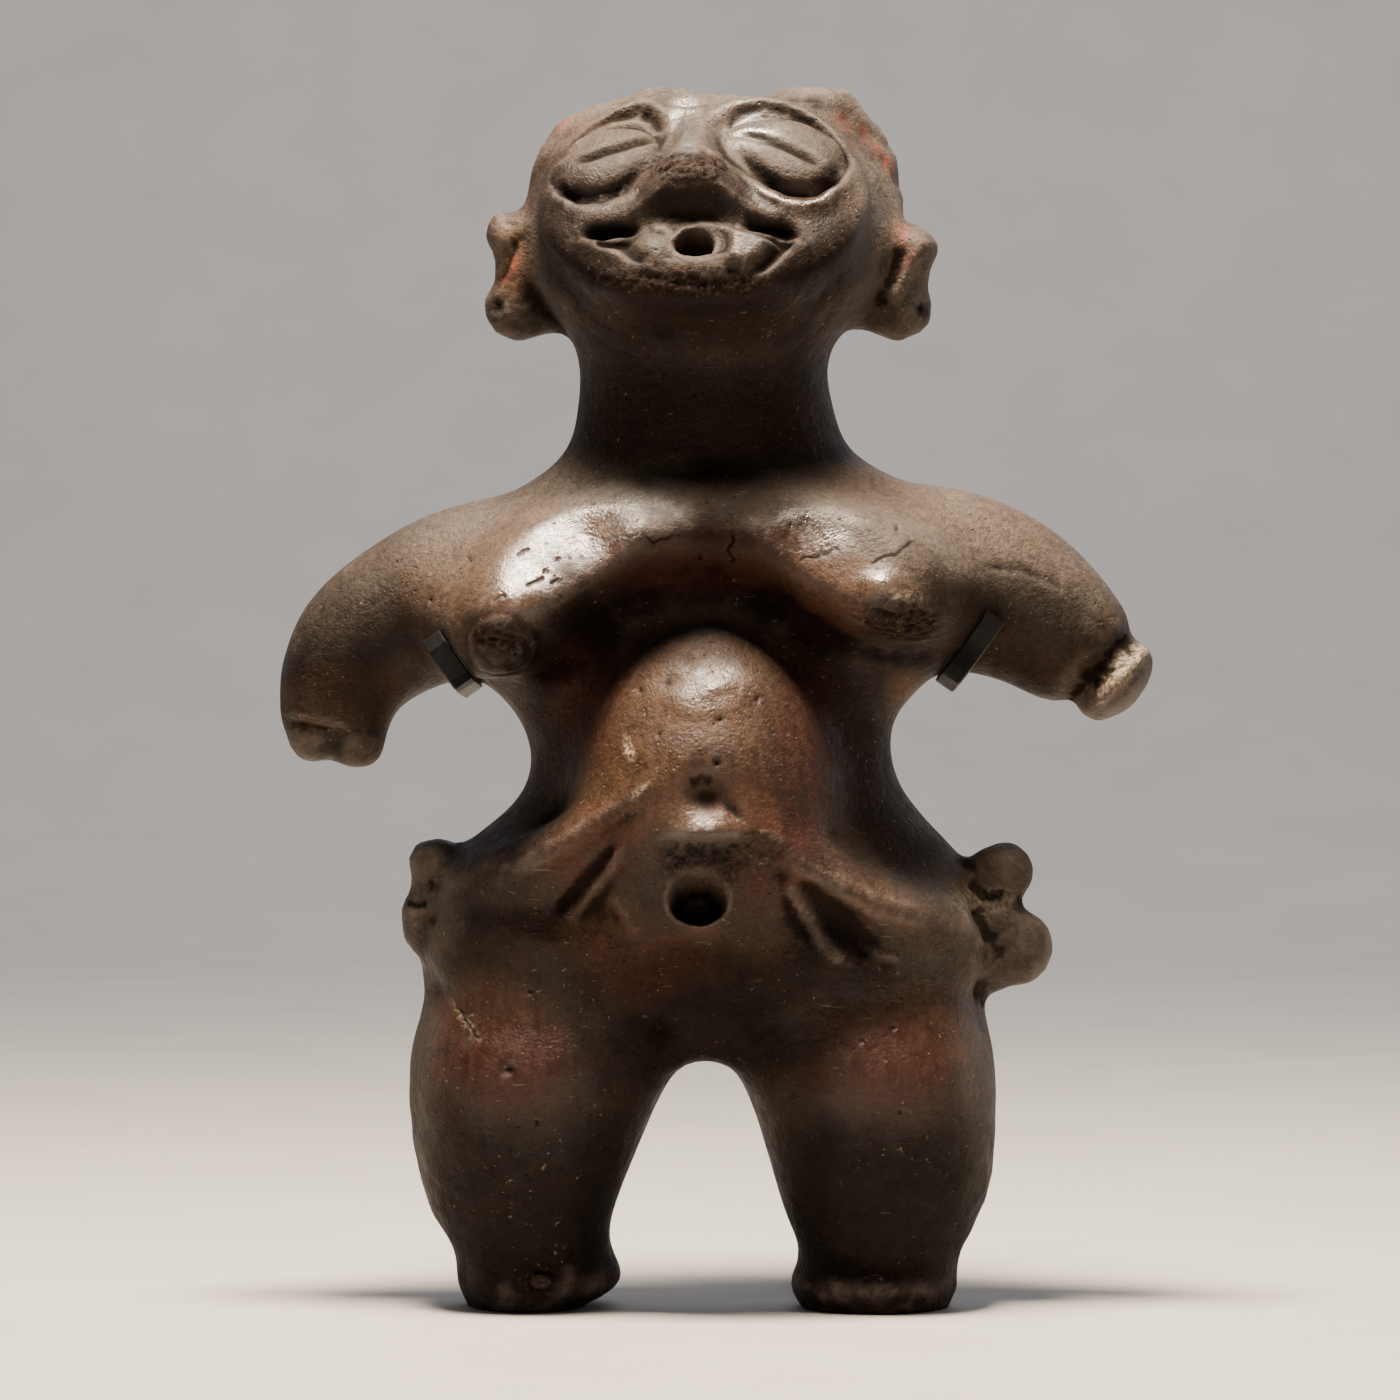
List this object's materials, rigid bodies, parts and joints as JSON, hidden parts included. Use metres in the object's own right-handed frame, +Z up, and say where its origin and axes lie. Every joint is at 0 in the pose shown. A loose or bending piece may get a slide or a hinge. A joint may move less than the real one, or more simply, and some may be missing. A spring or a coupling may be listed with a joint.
{
  "type": "dogu figurine",
  "caption": "Standing earthenware figurine with an upturned ringed face, short curved arms, a swollen pierced belly and stout legs, steadied under the arms by a slim painted stand.",
  "frame": {"origin": "on the ground under the middle of the whole part's footprint, figure and stand together", "axes": "+Z up through the head; the figure faces -Y; +X is to the right of someone who faces it"},
  "size_m": [0.1774, 0.1314, 0.2492],
  "materials": {
    "burnished_earthenware": "burnished low-fired clay, satin with matt worn breaks",
    "stand_paint": "satin near-black paint"
  },
  "bodies": {
    "root": {"figure": "burnished_earthenware", "cradle": "stand_paint", "stand_post": "stand_paint", "stand_foot": "stand_paint"}
  },
  "joints": []
}
